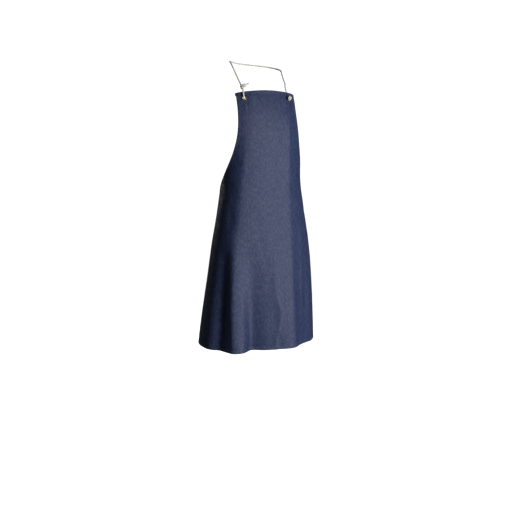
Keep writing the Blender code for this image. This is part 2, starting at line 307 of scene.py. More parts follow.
def on_body(u, v):
    """Where a row of places hangs: u is an array and v a number."""
    depth = float(np.interp(v, *fall_table()))
    front, half_width, half_depth = section_at(depth)
    angle = np.linspace(0, math.pi, 600)
    x = half_width * np.abs(np.sin(angle)) ** (2 / SECTION_POWER)
    y = -half_depth * np.sign(np.cos(angle)) * np.abs(np.cos(angle)) ** (2 / SECTION_POWER)
    lengths = np.concatenate([[0], np.cumsum(np.hypot(np.diff(x), np.diff(y)))])
    across = np.sign(u) * np.interp(np.abs(u), lengths, x)
    back = np.interp(np.abs(u), lengths, y + front + half_depth)
    waves = sum(height * np.exp(-(((across - place) / width) ** 2)) for place, width, height in FOLDS)
    share = np.clip((depth - FOLD_SPAN[0]) / (FOLD_SPAN[1] - FOLD_SPAN[0]), 0, 1)
    back = back - waves * np.clip(-back / FOLD_REACH, 0, 1) * share**1.3
    turn = TWIST * np.clip((depth - TWIST_SPAN[0]) / (TWIST_SPAN[1] - TWIST_SPAN[0]), 0, 1)
    sag = CORNER_DROP * (2 * u / BIB_WIDTH) ** 2 * math.exp(-v / CORNER_DROP_FADE)
    return np.stack([
        across * math.cos(turn) - back * math.sin(turn),
        across * math.sin(turn) + back * math.cos(turn) + BODY_Y,
        TOP_Z - depth - sag,
    ], axis=-1)


def half_width(v):
    """Half the flat cloth's width at each height. The top corners stick out a little as ears."""
    t = np.clip(v / ARMHOLE_DEPTH, 0, 1)
    ear = EAR * (1 - smooth_share(v, 0.002, 0.020))
    return BIB_WIDTH / 2 + (FLAT_WIDTH - BIB_WIDTH) / 2 * t**ARMHOLE_POWER + ear


def unit(vectors):
    return vectors / np.linalg.norm(vectors, axis=-1, keepdims=True)


def eyelet_uv(name):
    sign, inset, drop = EYELETS[name]
    return sign * float(half_width(drop) - inset), drop


@functools.cache
def eyelet_axes(name):
    """Centre of the hole in the middle of the cloth, and unit vectors across, down and out."""
    u, v = eyelet_uv(name)
    reach = 0.004
    left, centre, right = on_body(np.array([u - reach, u, u + reach]), v)
    above, below = (on_body(np.array([u]), v + step)[0] for step in (-reach, reach))
    across = unit(right - left)
    out = unit(np.cross(unit(below - above), across))
    return centre, across, np.cross(across, out), out


def beside(name, places):
    """World places of (side, out, up) beside an eyelet."""
    centre, across, down, out = eyelet_axes(name)
    places = np.atleast_2d(places)
    return centre + places[:, :1] * across + places[:, 1:2] * out - places[:, 2:] * down


def edge_distance(u, v):
    """How far a place is inside the nearest edge."""
    slope = np.gradient(half_width(np.array([v - 1e-4, v, v + 1e-4])), 1e-4, axis=0)[1]
    side = (half_width(v) - np.abs(u)) / np.sqrt(1 + slope**2)
    return np.minimum(side, np.minimum(v, FLAT_LENGTH - v))


def cusp(distance, width, soft):
    """A ridge 1 high, whose top is rounded over this soft width."""
    return np.exp(-(np.sqrt(distance**2 + soft**2) - soft) / width)


def along_line(v, line):
    """u of a crease at each height."""
    return np.interp(v, *np.transpose(line))


def streak(u, v, start, end, width):
    """A soft straight ridge from start to end on the cloth, 1 high."""
    a, b = np.array(start), np.array(end)
    along = b - a
    t = ((u - a[0]) * along[0] + (v - a[1]) * along[1]) / (along @ along)
    clipped = np.clip(t, 0, 1)
    off = np.hypot(u - a[0] - clipped * along[0], v - a[1] - clipped * along[1])
    return np.exp(-((off / width) ** 2)) * np.sin(np.pi * np.clip(t * 0.8 + 0.1, 0, 1)) ** 0.7


def pressed_creases(u, v):
    """The long creases, the fold over the wearer's left thigh and the flare of the lower corners."""
    low = smooth_share(v, 0.45, 0.72)
    right, left, crest = (along_line(v, line) for line in (RIGHT_CREASE, LEFT_CREASE, THIGH_CREST))
    wide = np.where(u < right, 0.030, 0.055)
    height = (0.0075 + 0.0145 * low) * cusp(u - right, wide, 0.012 - 0.0105 * low) * smooth_share(v, 0.12, 0.28)
    height += 0.0060 * cusp(u - left, 0.024, 0.010 - 0.006 * low) * smooth_share(v, 0.02, 0.16)
    ramp = np.where(u < crest, np.exp(-(crest - u) / 0.040), np.exp(-(u - crest) / 0.022))
    height += 0.0095 * ramp * smooth_share(v, 0.50, 0.64) * (1 - 0.25 * smooth_share(v, 0.84, 0.914))
    height += 0.0040 * cusp(u - 0.170, 0.022, 0.008) * low
    height += 0.0065 * smooth_share(-u, 0.19, 0.26) * smooth_share(v, 0.62, 0.90)
    return height + sum(high * streak(u, v, start, end, wide) for start, end, high, wide in SKIRT_FOLDS)


def pull_creases(u, v):
    """Short creases that fan down from the bib eyelets."""
    return sum(high * streak(u, v, start, end, BIB_FOLD_WIDTH) for start, end, high in BIB_FOLDS)


def small_wrinkles(u, v, height):
    """Soft wrinkles in random places, more upright than level."""
    chance = np.random.RandomState(11)
    total = 0
    for _ in range(110):
        place = chance.uniform((-0.34, 0.05), (0.34, 0.90))
        angle = chance.normal(math.pi / 2, 0.35)
        long, wide = chance.uniform(0.015, 0.06), chance.uniform(0.006, 0.014)
        high = chance.normal(0, height)
        du, dv = u - place[0], v - place[1]
        along = du * math.cos(angle) + dv * math.sin(angle)
        over = -du * math.sin(angle) + dv * math.cos(angle)
        total = total + high * np.exp(-((along / long) ** 2) - (over / wide) ** 2)
    return total


def along_hem(u, v, inside):
    """Place along the nearest hem: v beside a side hem, and u beside the top or bottom one."""
    return np.where(inside < np.minimum(v, FLAT_LENGTH - v) - 1e-6, v, u)


def rub_wave(along):
    """How hard the hem's puckers have been rubbed, from -1 to 1."""
    return np.sin(along * 700 + 3 * np.sin(along * 61))


def hem_relief(u, v):
    """The cloth dips at the stitch line and puckers along the hem."""
    inside = edge_distance(u, v)
    dip = -0.00045 * np.exp(-(((inside - HEM_WIDTH + 0.0015) / 0.0016) ** 2))
    along = along_hem(u, v, inside)
    pucker = np.sin(along * 410 + 2.1 * np.sin(along * 97)) * 0.5 + np.sin(along * 235 + 1.7) * 0.5
    return dip + 0.00028 * pucker * np.exp(-(((inside - 0.007) / 0.007) ** 2))


class Cloth:
    """The hanging cloth on a grid: its middle surface and normals, and any place near it."""

    def __init__(self, settings):
        steps = np.linspace(0, 1, HEM_STEPS + 1)
        hem = EDGE_ROLL + (HEM_WIDTH - EDGE_ROLL) * steps
        inner = np.linspace(HEM_WIDTH, FLAT_LENGTH - HEM_WIDTH, INNER_ROWS + 1)
        self.rows = np.concatenate([hem, inner[1:-1], (FLAT_LENGTH - hem)[::-1]])
        half = INNER_COLUMNS + HEM_STEPS
        place = np.arange(-half, half + 1)
        width = half_width(self.rows)[:, None]
        inner_u = place / INNER_COLUMNS * (width - HEM_WIDTH)
        hem_u = width - HEM_WIDTH + (np.abs(place) - INNER_COLUMNS) / HEM_STEPS * (HEM_WIDTH - EDGE_ROLL)
        self.u = np.where(np.abs(place) <= INNER_COLUMNS, inner_u, np.sign(place) * hem_u)
        self.v = np.repeat(self.rows[:, None], len(place), axis=1)
        self.points = np.stack([on_body(u, v) for u, v in zip(self.u, self.rows)])
        calm = 1
        for name in EYELETS:
            centre, across, down, _ = eyelet_axes(name)
            du, dv = self.u - eyelet_uv(name)[0], self.v - eyelet_uv(name)[1]
            flat = centre + du[..., None] * across + dv[..., None] * down
            away = smooth_share(np.hypot(du, dv), EYELET_FLAT, EYELET_EASE)
            self.points = flat + (self.points - flat) * away[..., None]
            calm = calm * smooth_share(np.hypot(du, dv), *CALM)
        self.normals = self.measure_normals()
        relief = settings.creases * pressed_creases(self.u, self.v) + pull_creases(self.u, self.v)
        relief = relief + small_wrinkles(self.u, self.v, settings.wrinkles) * smooth_share(self.v, 0.02, 0.10)
        relief = (relief + hem_relief(self.u, self.v)) * calm
        self.points = self.points + relief[..., None] * self.normals
        self.normals = self.measure_normals()

    def measure_normals(self):
        down = np.gradient(self.points, axis=0)
        across = np.gradient(self.points, axis=1)
        return unit(np.cross(down, across))

    def at(self, u, v, out=0.0):
        """World places this far out of the middle of the cloth."""
        u, v, out = np.broadcast_arrays(*(np.asarray(value, float) for value in (u, v, out)))
        width = half_width(v)
        beyond = (np.abs(u) - (width - HEM_WIDTH)) / (HEM_WIDTH - EDGE_ROLL) * HEM_STEPS
        inner = u / (width - HEM_WIDTH) * INNER_COLUMNS
        column = np.where(beyond > 0, np.sign(u) * (INNER_COLUMNS + beyond), inner) + INNER_COLUMNS + HEM_STEPS
        row = np.interp(v, self.rows, np.arange(len(self.rows)))
        row = row + np.minimum(v - self.rows[0], 0) / (self.rows[1] - self.rows[0])
        row = row + np.maximum(v - self.rows[-1], 0) / (self.rows[-1] - self.rows[-2])
        i = np.clip(row.astype(int), 0, len(self.rows) - 2)
        j = np.clip(column.astype(int), 0, self.u.shape[1] - 2)
        s, t = (row - i)[..., None], (column - j)[..., None]

        def mixed(grid):
            top = grid[i, j] * (1 - t) + grid[i, j + 1] * t
            foot = grid[i + 1, j] * (1 - t) + grid[i + 1, j + 1] * t
            return top * (1 - s) + foot * s

        return mixed(self.points) + out[..., None] * unit(mixed(self.normals))


@functools.cache
def cloth():
    return Cloth(bpy.context.scene.apron_cloth)


# ---- meshes


def show(name, data):
    """A new object in the scene."""
    obj = bpy.data.objects.new(name, data)
    bpy.context.scene.collection.objects.link(obj)
    return obj


def add_mesh(name, points, faces, materials, face_slots=None, flat=None, wear_and_shade=None):
    """A smooth mesh object. flat gives each point's place on the flat cloth or the rope, as its UV map."""
    mesh = bpy.data.meshes.new(name)
    mesh.from_pydata([tuple(point) for point in points], [], [list(face) for face in faces])
    for finish in materials:
        mesh.materials.append(finish)
    mesh.shade_smooth()
    if face_slots is not None:
        mesh.polygons.foreach_set("material_index", np.asarray(face_slots, np.int32))
    if flat is not None:
        corners = np.empty(len(mesh.loops), np.int32)
        mesh.loops.foreach_get("vertex_index", corners)
        layer = mesh.uv_layers.new(name="flat")
        layer.uv.foreach_set("vector", np.asarray(flat, np.float32)[corners].ravel())
    if wear_and_shade is not None:
        # This attribute holds real wear on the denim and painted groove shade on the rope.
        attribute = mesh.attributes.new("wear_and_shade", "FLOAT", "POINT")
        attribute.data.foreach_set("value", np.asarray(wear_and_shade, np.float32))
    mesh.validate()
    return show(name, mesh)


def tube_faces(rings, corners, first=0):
    """Quads between rings of points. Ring by ring, with the corners running round."""
    faces = []
    for i in range(rings - 1):
        for j in range(corners):
            k = (j + 1) % corners
            a, b = first + i * corners, first + (i + 1) * corners
            faces.append((a + j, a + k, b + k, b + j))
    return faces


def face_out(obj):
    """Turns a closed mesh's faces outwards."""
    mesh = obj.data
    mesh.calc_loop_triangles()
    points = np.array([vertex.co for vertex in mesh.vertices])
    corners = np.array([triangle.vertices for triangle in mesh.loop_triangles])
    if np.linalg.det(points[corners]).sum() < 0:
        mesh.flip_normals()


# ---- materials


class Nodes:
    """Adds nodes to a material, with values or links as inputs."""

    def __init__(self, name):
        self.material = bpy.data.materials.new(name)
        self.material.use_nodes = True
        self.tree = self.material.node_tree
        self.shader = self.tree.nodes["Principled BSDF"]

    def add(self, kind, inputs=(), **properties):
        node = self.tree.nodes.new(kind)
        for key, value in properties.items():
            setattr(node, key, value)
        for key, value in dict(inputs).items():
            self.set(node, key, value)
        return node

    def set(self, node, key, value):
        if isinstance(value, bpy.types.NodeSocket):
            self.tree.links.new(value, node.inputs[key])
        else:
            node.inputs[key].default_value = value

    def finish(self, **values):
        for key, value in values.items():
            self.set(self.shader, key.replace("_", " "), value)
        return self.material

    def maths(self, operation, a, b=0.0, clamp=False):
        node = self.add("ShaderNodeMath", operation=operation, use_clamp=clamp)
        self.set(node, 0, a)
        self.set(node, 1, b)
        return node.outputs[0]

    def mix(self, share, a, b):
        node = self.add("ShaderNodeMix", data_type="RGBA")
        self.set(node, 0, share)
        self.set(node, 6, a)
        self.set(node, 7, b)
        return node.outputs[2]

    def noise(self, vector, scale, detail=2.0, roughness=0.5):
        values = {"Vector": vector, "Scale": scale, "Detail": detail, "Roughness": roughness}
        return self.add("ShaderNodeTexNoise", values).outputs["Fac"]

    def mapped(self, vector, scale=(1, 1, 1), angle=0.0):
        values = {"Vector": vector, "Scale": scale, "Rotation": (0, 0, angle)}
        return self.add("ShaderNodeMapping", values).outputs[0]

    def bump(self, height, distance, normal=None):
        values = {"Height": height, "Distance": distance, "Strength": 1.0}
        if normal is not None:
            values["Normal"] = normal
        return self.add("ShaderNodeBump", values).outputs[0]


def rgba(colour):
    return (*colour, 1.0)


@functools.cache
def denim(side):
    """Right-hand twill of indigo warp over pale weft, which shows more on the wrong side and where it is worn."""
    settings = bpy.context.scene.apron_cloth
    nodes = Nodes(f"denim_{side}")
    flat = nodes.add("ShaderNodeUVMap", uv_map="flat").outputs[0]
    lean = math.radians(62) if side == "face" else math.radians(-62)
    diagonal = nodes.mapped(flat, angle=lean)
    twill = nodes.add(
        "ShaderNodeTexWave",
        {"Vector": diagonal, "Scale": 300.0, "Distortion": 0.9, "Detail": 1.0, "Detail Scale": 1.4},
    ).outputs["Fac"]
    slub = nodes.noise(nodes.mapped(flat, (900, 55, 1)), 1.0, 2.0, 0.6)
    fleck = nodes.noise(nodes.mapped(flat, (1, 0.62, 1)), 330.0, 3.0, 0.65)
    mottle = nodes.noise(nodes.mapped(flat, (1, 0.45, 1)), 150.0, 2.0, 0.6)
    shade = nodes.noise(nodes.mapped(flat, (1.5, 0.8, 1)), 26.0, 3.0)
    wear_and_shade = nodes.add("ShaderNodeAttribute", attribute_name="wear_and_shade").outputs["Fac"]
    pale = nodes.maths("MULTIPLY_ADD", twill, 0.16)
    pale.node.inputs[2].default_value = 0.02 if side == "face" else 0.10
    for pattern, strength in ((slub, 0.60), (fleck, 0.9), (mottle, 0.65), (shade, 0.18)):
        pale = nodes.maths("ADD", pale, nodes.maths("MULTIPLY", nodes.maths("SUBTRACT", pattern, 0.5), strength))
    pale = nodes.maths("ADD", pale, nodes.maths("MULTIPLY", wear_and_shade, 0.5), clamp=True)
    dark = settings.indigo if side == "face" else settings.wrong_side
    colour = nodes.mix(pale, rgba(dark), rgba(settings.weft))
    yarn = nodes.maths("ADD", nodes.maths("MULTIPLY", twill, 0.7), nodes.maths("MULTIPLY", slub, 0.6))
    normal = nodes.bump(yarn, 0.00022)
    normal = nodes.bump(fleck, 0.0005, normal)
    return nodes.finish(**{
        "Base_Color": colour,
        "Roughness": 0.48,
        "Specular_IOR_Level": 0.42,
        "Sheen_Weight": 0.03,
        "Sheen_Roughness": 0.45,
        "Sheen_Tint": (0.75, 0.80, 1.0, 1.0),
        "Normal": normal,
    })


@functools.cache
def thread():
    settings = bpy.context.scene.apron_stitching
    nodes = Nodes("sewing_thread")
    place = nodes.add("ShaderNodeTexCoord").outputs["Object"]
    ply = nodes.noise(place, 4200.0, 1.0)
    dark, light = (rgba([value * share for value in settings.colour]) for share in (0.6, 1.5))
    colour = nodes.mix(ply, dark, light)
    return nodes.finish(Base_Color=colour, Roughness=0.6, Sheen_Weight=0.3, Normal=nodes.bump(ply, 0.00004))


@functools.cache
def brass():
    """Polished on the crown, with dull patches and fine scratches."""
    settings = bpy.context.scene.apron_brass
    nodes = Nodes("pressed_brass")
    place = nodes.add("ShaderNodeTexCoord").outputs["Object"]
    patches = nodes.noise(place, 260.0, 4.0, 0.6)
    hollow = nodes.add("ShaderNodeNewGeometry").outputs["Pointiness"]
    crown = nodes.maths("MULTIPLY", nodes.maths("SUBTRACT", hollow, 0.44), 6.0, clamp=True)
    dull = nodes.maths("MULTIPLY", patches, nodes.maths("SUBTRACT", 1.25, crown), clamp=True)
    scratches = nodes.noise(nodes.mapped(place, (1, 1, 7)), 1900.0, 2.0)
    colour = nodes.mix(dull, rgba(settings.colour), rgba(settings.tarnish))
    scratched = nodes.maths("MULTIPLY", scratches, 0.25)
    rough = nodes.maths("ADD", nodes.maths("MULTIPLY", dull, 0.3), scratched, clamp=True)
    rough = nodes.maths("ADD", rough, 0.12)
    return nodes.finish(Base_Color=colour, Metallic=1.0, Roughness=rough, Normal=nodes.bump(scratches, 0.00003))


@functools.cache
def cotton():
    """Yarns that run along each strand, with loose fibres, and a little grey painted as shade in the grooves between
    strands.
    """
    settings = bpy.context.scene.apron_rope
    nodes = Nodes("cotton_rope_yarn")
    flat = nodes.add("ShaderNodeUVMap", uv_map="flat").outputs[0]
    place = nodes.add("ShaderNodeTexCoord").outputs["Object"]
    yarns = nodes.add(
        "ShaderNodeTexWave",
        {"Vector": nodes.mapped(flat, (1, 70, 1), 0.35), "Scale": 1.9, "Distortion": 1.4, "Detail": 2.0},
    ).outputs["Fac"]
    fibre = nodes.noise(nodes.mapped(flat, (9, 900, 1)), 1.0, 3.0, 0.7)
    soil = nodes.noise(place, 60.0, 3.0)
    # Painted shade: a point attribute marks each strand darker on its side towards the rope's middle, in the grooves
    # between strands.
    painted_groove_shade = nodes.add("ShaderNodeAttribute", attribute_name="wear_and_shade").outputs["Fac"]
    darker = nodes.maths("MULTIPLY", nodes.maths("SUBTRACT", 1.0, yarns), 0.16)
    darker = nodes.maths("ADD", darker, nodes.maths("MULTIPLY", soil, 0.10))
    darker = nodes.maths("ADD", darker, nodes.maths("MULTIPLY", painted_groove_shade, 0.15), clamp=True)
    # The grey-brown mix carries the yarn pattern, random soil and the painted groove shade.
    colour = nodes.mix(darker, rgba(settings.colour), (0.40, 0.36, 0.29, 1.0))
    normal = nodes.bump(nodes.maths("ADD", yarns, fibre), 0.00014)
    return nodes.finish(
        Base_Color=colour,
        Roughness=0.88,
        Specular_IOR_Level=0.3,
        Sheen_Weight=0.35,
        Sheen_Roughness=0.6,
        Subsurface_Weight=0.7,
        Subsurface_Radius=(1.0, 0.9, 0.8),
        Subsurface_Scale=0.003,
        Normal=normal,
    )


# ---- cloth


def eyelet_reach(u, v):
    """Distance to the nearest eyelet's centre, and the direction away from it."""
    reach = np.full(u.shape, 1.0)
    away = np.zeros((*u.shape, 2))
    for name in EYELETS:
        du, dv = u - eyelet_uv(name)[0], v - eyelet_uv(name)[1]
        distance = np.hypot(du, dv)
        nearer = distance < reach
        reach = np.where(nearer, distance, reach)
        step = np.stack([du, dv], axis=-1) / np.maximum(distance, 1e-9)[..., None]
        away = np.where(nearer[..., None], step, away)
    return reach, away


def build_cloth(settings):
    """A two-sided sheet. Its outer edge lies inside the rolled hems and its holes lie under the brass."""
    sheet = cloth()
    rows, columns = sheet.u.shape
    centre_u = (sheet.u[1:, 1:] + sheet.u[:-1, :-1]) / 2
    centre_v = (sheet.v[1:, 1:] + sheet.v[:-1, :-1]) / 2
    kept = (eyelet_reach(centre_u, centre_v)[0] > HOLE_EDGE).ravel()
    reach, away = eyelet_reach(sheet.u, sheet.v)
    push = np.where(reach < HOLE_EDGE, HOLE_EDGE - reach, 0)[..., None] * away
    u, v = sheet.u + push[..., 0], sheet.v + push[..., 1]
    moved = (reach < HOLE_EDGE)[..., None]
    half = settings.thickness / 2
    front = np.where(moved, sheet.at(u, v, half), sheet.points + half * sheet.normals).reshape(-1, 3)
    back = np.where(moved, sheet.at(u, v, -half), sheet.points - half * sheet.normals).reshape(-1, 3)
    index = np.arange(rows * columns).reshape(rows, columns)
    quads = np.stack([index[:-1, :-1], index[1:, :-1], index[1:, 1:], index[:-1, 1:]], axis=-1)
    quads = quads.reshape(-1, 4)[kept]
    starts, ends = quads.ravel(), np.roll(quads, -1, axis=1).ravel()
    lone = ~np.isin(starts * index.size + ends, ends * index.size + starts)
    starts, ends = starts[lone], ends[lone]
    walls = np.stack([ends, starts, starts + index.size, ends + index.size], axis=-1)
    faces = np.concatenate([quads, quads[:, ::-1] + index.size, walls])
    slots = np.repeat([0, 1, 0], [len(quads), len(quads), len(walls)])
    used, renumbered = np.unique(faces, return_inverse=True)
    flat = np.stack([u.ravel(), -v.ravel()], axis=-1)
    inside = edge_distance(sheet.u, sheet.v)
    wave = rub_wave(along_hem(sheet.u, sheet.v, inside))
    wear_and_shade = 0.9 * np.exp(-(((inside - 0.0020) / 0.0034) ** 2)) * (0.55 + 0.45 * wave)
    for line, strength in ((RIGHT_CREASE, 0.14), (LEFT_CREASE, 0.05)):
        rubbed = cusp(sheet.u - along_line(sheet.v, line), 0.0035, 0.001)
        wear_and_shade = wear_and_shade + strength * rubbed * smooth_share(sheet.v, 0.5, 0.7)
    wear_and_shade = np.clip(wear_and_shade, 0, 1).ravel()
    return add_mesh(
        "denim_cloth",
        np.concatenate([front, back])[used],
        renumbered.reshape(-1, 4),
        [denim("face"), denim("wrong_side")],
        slots,
        np.concatenate([flat, flat])[used],
        np.concatenate([wear_and_shade, wear_and_shade])[used],
    )


# ---- hems


def hem_profile(thickness, leaf):
    """Closed outline of a rolled hem, as (inward, out). leaf is how far the fold reaches in."""
    foot = LEAF_FRONT - thickness
    middle, radius = (ROLL_FRONT + foot) / 2, (ROLL_FRONT - foot) / 2
    nose = [
        (EDGE_ROLL - EDGE_ROLL * math.sin(a), middle + radius * math.cos(a)) for a in np.linspace(0, math.pi, 9)
    ]
    if leaf <= EDGE_ROLL:
        back = [(EDGE_ROLL, foot + 0.0004), (EDGE_ROLL, foot + 0.0006), (EDGE_ROLL, foot + 0.0008)]
        back += [(EDGE_ROLL, LEAF_SWELL_START + 0.0001 * i) for i in range(3)]
        return nose + back
    end = [(leaf - 0.0004, foot), (leaf, (foot + LEAF_FRONT) / 2), (leaf - 0.0004, LEAF_FRONT)]
    return nose + [(leaf * 0.6, foot + 0.0001), *end, (leaf * 0.6, LEAF_FRONT), (EDGE_ROLL, LEAF_FRONT)]


def build_hem(name, edge, spans, settings):
    """A rolled hem along an edge. edge gives (u, v) and the inward direction at each place of its spans."""
    rings, flat, wear_and_shade = [], [], []
    for place, leaf in spans:
        (u, v), (inward_u, inward_v) = edge(place)
        profile = np.array(hem_profile(settings.hem_thickness, leaf))
        swell = 1 + 0.06 * math.sin(place * 520) + 0.05 * math.sin(place * 233 + 1)
        behind = np.minimum(profile[:, 1] - LEAF_SWELL_START, 0)
        out = profile[:, 1] + behind * (swell - 1)
        places_u, places_v = u + inward_u * profile[:, 0], v + inward_v * profile[:, 0]
        rings.append(cloth().at(places_u, places_v, out))
        around = profile[:, 0] - (profile[:, 1] - ROLL_FRONT) * 1.2
        flat.append(np.stack([u + inward_u * around, -(v + inward_v * around)], axis=-1))
        rub = 0.5 + 0.5 * rub_wave(place)
        wear_and_shade.append(np.where(profile[:, 0] < EDGE_ROLL * 1.01, 0.25 + 0.5 * rub, 0.05))
    corners = len(rings[0])
    points = np.concatenate(rings)
    faces = tube_faces(len(rings), corners)
    last = len(points) - corners
    faces.append(tuple(reversed(range(corners))))
    faces.append(tuple(range(last, last + corners)))
    obj = add_mesh(name, points, faces, [denim("hem")], None, np.concatenate(flat), np.concatenate(wear_and_shade))
    face_out(obj)
    return obj


def level_edge(v, inward):
    def edge(u):
        return (u, v), (0, inward)

    return edge


def side_edge(sign):
    def edge(v):
        slope = float(half_width(v + 1e-4) - half_width(v - 1e-4)) / 2e-4
        size = math.hypot(1, slope)
        return (sign * float(half_width(v)), v), (-sign / size, slope / size)

    return edge


def build_hems(settings):
    low = FLAT_LENGTH - EDGE_ROLL
    pieces = {}
    for name, v, inward, width in (
        ("top_hem_roll", 0.0, 1, float(half_width(0))),
        ("bottom_hem_roll", FLAT_LENGTH, -1, FLAT_WIDTH / 2),
    ):
        places = np.linspace(-width, width, int(2 * width / 0.0028))
        pieces[name] = build_hem(name, level_edge(v, inward), [(u, HEM_WIDTH) for u in places], settings)
    start, end = HEM_WIDTH + 0.0006, FLAT_LENGTH - HEM_WIDTH - 0.0006
    for name, sign in (("right_hem_roll", -1), ("left_hem_roll", 1)):
        spans = [(v, EDGE_ROLL) for v in np.linspace(EDGE_ROLL + 0.0001, start, 5)]
        spans += [(v, HEM_WIDTH) for v in np.linspace(start + 0.0001, end, 320)]
        spans += [(v, EDGE_ROLL) for v in np.linspace(end + 0.0001, low - 0.0001, 5)]
        pieces[name] = build_hem(name, side_edge(sign), spans, settings)
    return pieces


# ---- stitching


def stitch_lines():
    """Runs of places along every hem, on the face and on the wrong side."""
    inset = HEM_WIDTH - SEAM_INSET
    width = float(half_width(inset)) - 0.003
    low_width = FLAT_WIDTH / 2 - 0.003
    runs = []
    for out in (STITCH_FRONT, STITCH_BACK):
        for v, reach in ((inset, width), (FLAT_LENGTH - inset, low_width)):
            u = np.linspace(-reach, reach, int(reach / 0.0005))
            runs.append(cloth().at(u, np.full(len(u), v), out))
        for sign in (-1, 1):
            edge = side_edge(sign)
            places = [edge(v) for v in np.arange(0.014, FLAT_LENGTH - 0.0135, 0.001)]
            u = np.array([place[0] + direction[0] * inset for place, direction in places])
            v = np.array([place[1] + direction[1] * inset for place, direction in places])
            runs.append(cloth().at(u, v, out))
    return runs


def stitch_nodes():
    """Lays a rounded stitch at every pitch along each line."""
    tree = bpy.data.node_groups.new("stitch_run", "GeometryNodeTree")
    for name, way, kind in (
        ("Lines", "INPUT", "Geometry"),
        ("Pitch", "INPUT", "Float"),
        ("Stitch length", "INPUT", "Float"),
        ("Thread", "INPUT", "Float"),
        ("Finish", "INPUT", "Material"),
        ("Stitches", "OUTPUT", "Geometry"),
    ):
        tree.interface.new_socket(name, in_out=way, socket_type=f"NodeSocket{kind}")
    kinds = {
        "inputs": "NodeGroupInput",
        "outputs": "NodeGroupOutput",
        "curve": "GeometryNodeMeshToCurve",
        "points": "GeometryNodeCurveToPoints",
        "ball": "GeometryNodeMeshUVSphere",
        "size": "ShaderNodeCombineXYZ",
        "place": "GeometryNodeInstanceOnPoints",
        "turn": "FunctionNodeAlignRotationToVector",
        "slack": "FunctionNodeRandomValue",
        "jitter": "ShaderNodeVectorMath",
        "real": "GeometryNodeRealizeInstances",
        "smooth": "GeometryNodeSetShadeSmooth",
        "finish": "GeometryNodeSetMaterial",
    }
    made = {name: tree.nodes.new(kind) for name, kind in kinds.items()}
    made["points"].mode = "LENGTH"
    made["ball"].inputs["Segments"].default_value = 6
    made["ball"].inputs["Rings"].default_value = 5
    made["ball"].inputs["Radius"].default_value = 0.5
    made["turn"].axis = "Z"
    made["slack"].data_type = "FLOAT_VECTOR"
    made["slack"].inputs["Min"].default_value = (0.9, 0.9, 0.9)
    made["slack"].inputs["Max"].default_value = (1.1, 1.1, 1.05)
    made["slack"].inputs["Seed"].default_value = 4
    made["jitter"].operation = "MULTIPLY"

    for source, output, target, socket in (
        ("inputs", "Lines", "curve", "Mesh"),
        ("curve", "Curve", "points", "Curve"),
        ("inputs", "Pitch", "points", "Length"),
        ("points", "Points", "place", "Points"),
        ("ball", "Mesh", "place", "Instance"),
        ("points", "Tangent", "turn", "Vector"),
        ("turn", "Rotation", "place", "Rotation"),
        ("inputs", "Thread", "size", "X"),
        ("inputs", "Thread", "size", "Y"),
        ("inputs", "Stitch length", "size", "Z"),
        ("size", "Vector", "jitter", 0),
        ("slack", "Value", "jitter", 1),
        ("jitter", "Vector", "place", "Scale"),
        ("place", "Instances", "real", "Geometry"),
        ("real", "Geometry", "smooth", "Geometry"),
        ("smooth", "Geometry", "finish", "Geometry"),
        ("inputs", "Finish", "finish", "Material"),
        ("finish", "Geometry", "outputs", "Stitches"),
    ):
        tree.links.new(made[source].outputs[output], made[target].inputs[socket])
    return tree


def build_stitching(settings):
    runs = stitch_lines()
    mesh = bpy.data.meshes.new("stitch_lines")
    edges, count = [], 0
    for run in runs:
        edges += [(count + i, count + i + 1) for i in range(len(run) - 1)]
        count += len(run)
    mesh.from_pydata([tuple(point) for point in np.concatenate(runs)], edges, [])
    lines = show("stitch_lines", mesh)
    tree = stitch_nodes()
    modifier = lines.modifiers.new("Stitches", "NODES")
    modifier.node_group = tree
    sockets = {item.name: item.identifier for item in tree.interface.items_tree if item.in_out == "INPUT"}
    modifier[sockets["Pitch"]] = settings.pitch
    modifier[sockets["Stitch length"]] = settings.length
    modifier[sockets["Thread"]] = settings.thread
    modifier[sockets["Finish"]] = thread()
    bpy.context.view_layer.update()
    made = bpy.data.meshes.new_from_object(lines.evaluated_get(bpy.context.evaluated_depsgraph_get()))
    bpy.data.objects.remove(lines)
    made.name = "hem_stitching"
    made.materials.clear()
    made.materials.append(thread())
    return show("hem_stitching", made)


# ---- brass


def rounded(profile, share=0.28):
    """The closed profile with each corner cut back, so that a turned ring has soft edges."""
    points = np.array(profile)
    before, after = np.roll(points, 1, axis=0), np.roll(points, -1, axis=0)
    cut = []
    for a, b, c in zip(before, points, after):
        cut += [b + (a - b) * share, b * (1 - share / 2) + (a + c) * share / 4, b + (c - b) * share]
    return np.array(cut)


def turned(name, eyelet, profile, segments):
    centre, across, down, out = eyelet_axes(eyelet)
    angles = np.linspace(0, 2 * math.pi, segments, endpoint=False)
    rings = [
        centre
        + profile[:, :1] * (math.cos(a) * across - math.sin(a) * down)
        + profile[:, 1:] * out
        for a in angles
    ]
    corners = len(profile)
    faces = tube_faces(segments + 1, corners)
    faces = [tuple(k % (segments * corners) for k in face) for face in faces]
    obj = add_mesh(name, np.concatenate(rings), faces, [brass()])
    face_out(obj)
    return obj


def eyelet_profile():
    """Flange in front, its crown rolled into the hole, the barrel, and the lip rolled over the washer."""
    return rounded((
        (FLANGE, 0.00112),
        (FLANGE - 0.00015, 0.0008),
        (BARREL, 0.0008),
        (BARREL, -0.0018),
        (LIP - 0.0003, -0.0018),
        (LIP, -0.00205),
        (LIP - 0.0003, -0.0023),
        (BARREL, -0.0023),
        (HOLE_RADIUS, -0.0018),
        (HOLE_RADIUS, 0.0009),
        (HOLE_RADIUS + 0.0003, 0.0014),
        (BARREL + 0.0006, 0.0017),
        (BARREL + 0.0024, 0.0017),
        (FLANGE - 0.0008, 0.00145),
    ))


